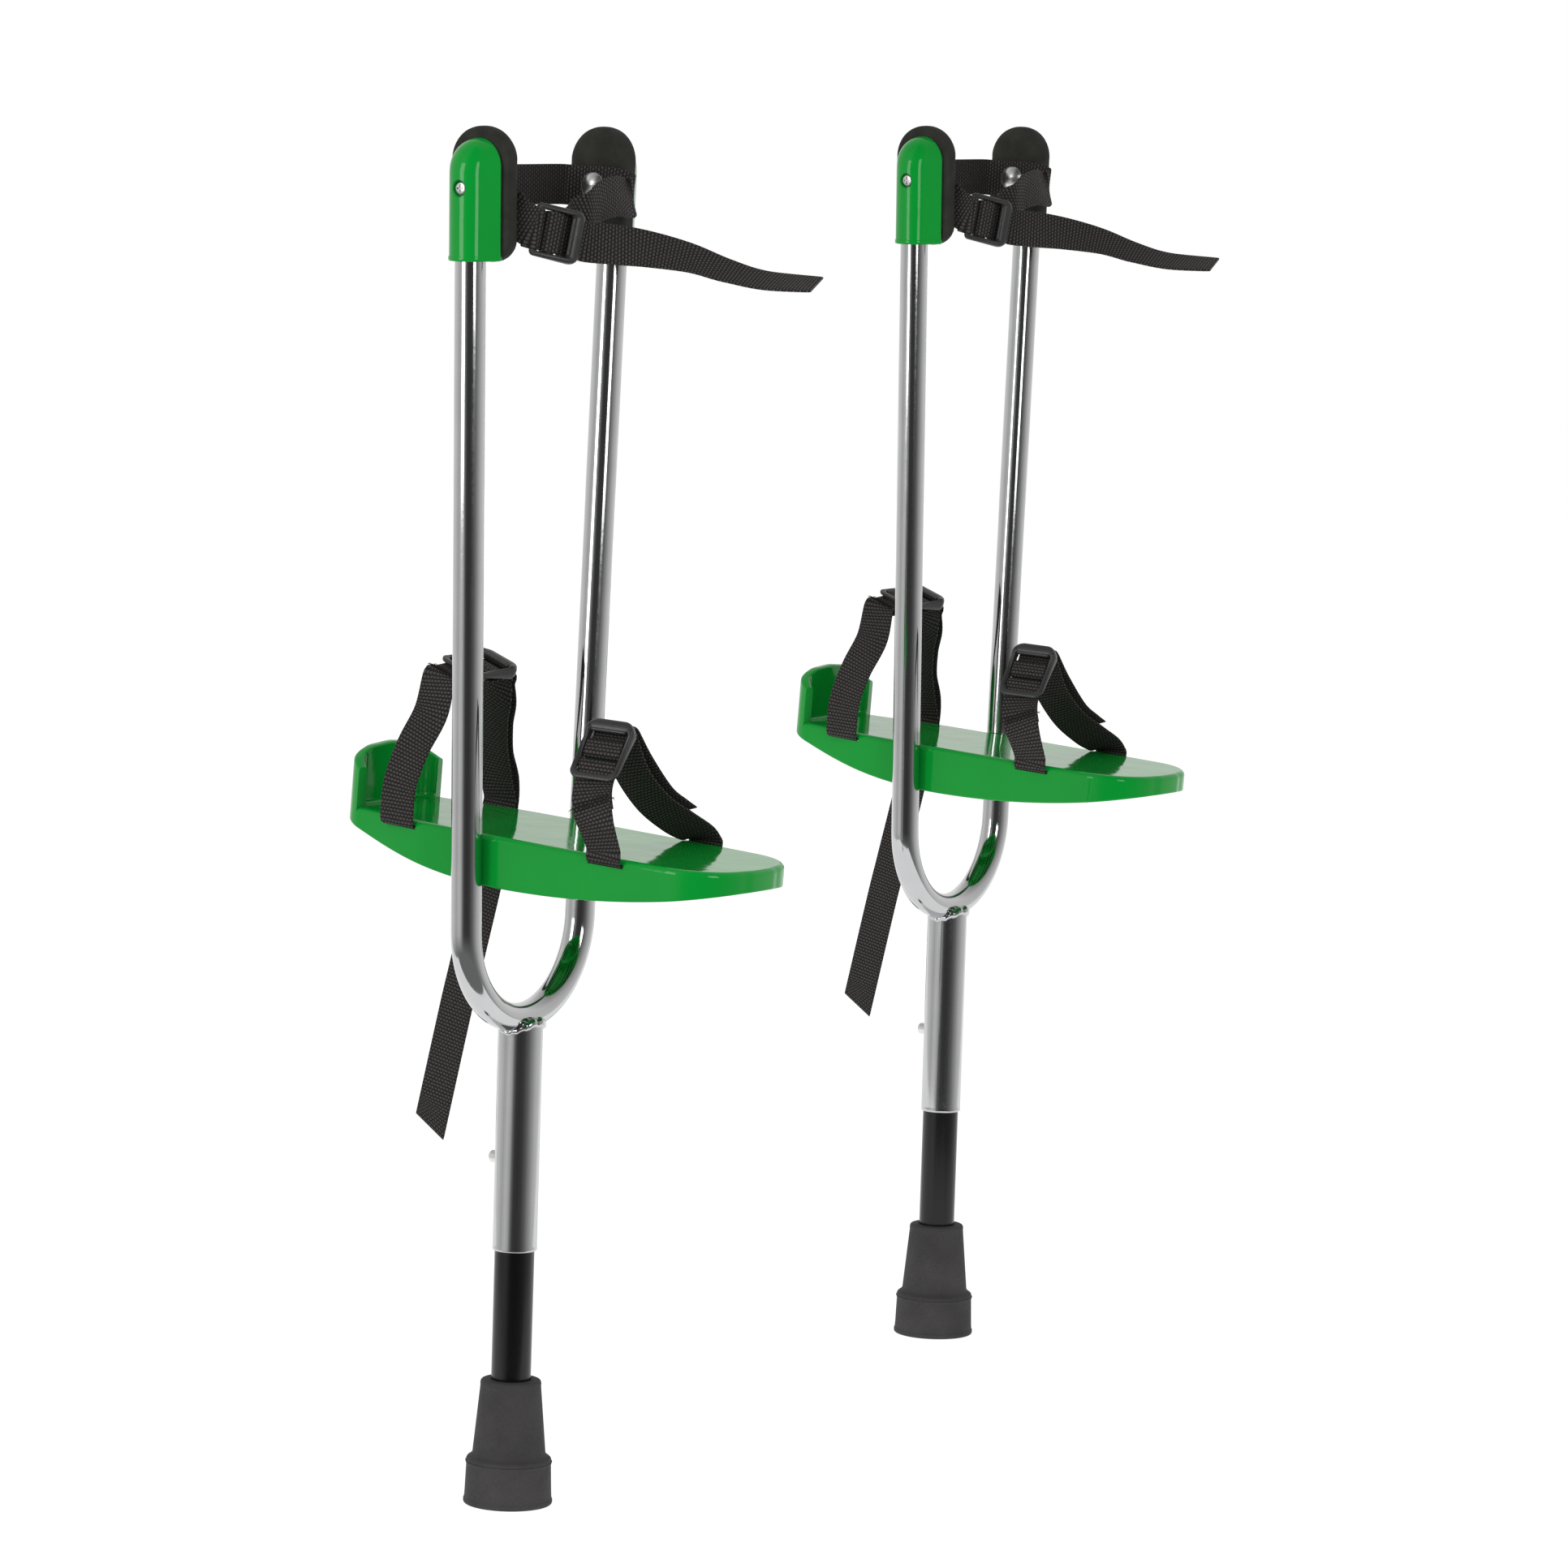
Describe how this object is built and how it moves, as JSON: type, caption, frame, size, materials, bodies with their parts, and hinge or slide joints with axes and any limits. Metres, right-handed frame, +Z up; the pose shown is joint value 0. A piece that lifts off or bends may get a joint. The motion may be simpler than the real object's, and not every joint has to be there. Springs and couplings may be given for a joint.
{
  "type": "peg stilts",
  "caption": "Peg stilts: chromed tube fork on a telescopic peg with rubber foot, moulded foot plate with heel stop, padded knee caps and webbing straps with ladder buckles.",
  "frame": {"origin": "middle of the right stilt's sole, on the ground", "axes": "+Z up along the right peg, +X to the toe, +Y to the walker's left, where the left stilt stands"},
  "size_m": [0.3907, 0.8308, 0.8602],
  "materials": {
    "chrome": "polished chrome plate on steel tube",
    "green_plastic": "gloss, moulded",
    "pad": "matte foam",
    "webbing": "woven",
    "buckle": "satin, moulded",
    "black_tube": "satin black",
    "rubber": "matte",
    "steel": "zinc plated"
  },
  "bodies": {
    "right_frame": {"right_fork_tube": "chrome", "right_stem_tube": "chrome", "right_stem_weld": "chrome", "right_foot_plate": "green_plastic", "right_plate_screws": "steel", "right_outer_cap": "green_plastic", "right_inner_cap": "green_plastic", "right_outer_pad": "pad", "right_inner_pad": "pad", "right_cap_screws": "steel", "right_dome_nuts": "chrome", "right_knee_strap": "webbing", "right_knee_buckle": "buckle", "right_ankle_strap": "webbing", "right_ankle_buckle": "buckle", "right_toe_strap": "webbing", "right_toe_buckle": "buckle"},
    "right_leg": {"right_peg_tube": "black_tube", "right_rubber_foot": "rubber", "right_foot_washer": "steel"},
    "right_button": {"right_snap_button": "steel"},
    "left_frame": {"left_fork_tube": "chrome", "left_stem_tube": "chrome", "left_stem_weld": "chrome", "left_foot_plate": "green_plastic", "left_plate_screws": "steel", "left_outer_cap": "green_plastic", "left_inner_cap": "green_plastic", "left_outer_pad": "pad", "left_inner_pad": "pad", "left_cap_screws": "steel", "left_dome_nuts": "chrome", "left_knee_strap": "webbing", "left_knee_buckle": "buckle", "left_ankle_strap": "webbing", "left_ankle_buckle": "buckle", "left_toe_strap": "webbing", "left_toe_buckle": "buckle"},
    "left_leg": {"left_peg_tube": "black_tube", "left_rubber_foot": "rubber", "left_foot_washer": "steel"},
    "left_button": {"left_snap_button": "steel"}
  },
  "joints": [
    {"name": "right_leg_slide", "type": "slide", "parent": "right_frame", "child": "right_leg", "axis": [0, 0, 1], "range_m": [0, 0.05], "deforming": ["right_snap_button"]},
    {"name": "right_button_press", "type": "slide", "parent": "right_leg", "child": "right_button", "axis": [1, 0, 0], "range_m": [0, 0.0078], "stiffness_N_per_m": 600, "springref_m": -0.006, "deforming": ["right_snap_button"]},
    {"name": "left_leg_slide", "type": "slide", "parent": "left_frame", "child": "left_leg", "axis": [0, 0, 1], "range_m": [0, 0.05], "deforming": ["left_snap_button"]},
    {"name": "left_button_press", "type": "slide", "parent": "left_leg", "child": "left_button", "axis": [1, 0, 0], "range_m": [0, 0.0078], "stiffness_N_per_m": 600, "springref_m": -0.006, "deforming": ["left_snap_button"]},
    {"name": "left_stilt_lift", "type": "slide", "parent": "right_frame", "child": "left_frame", "axis": [0, 0, 1], "range_m": [0, 0.3]}
  ]
}
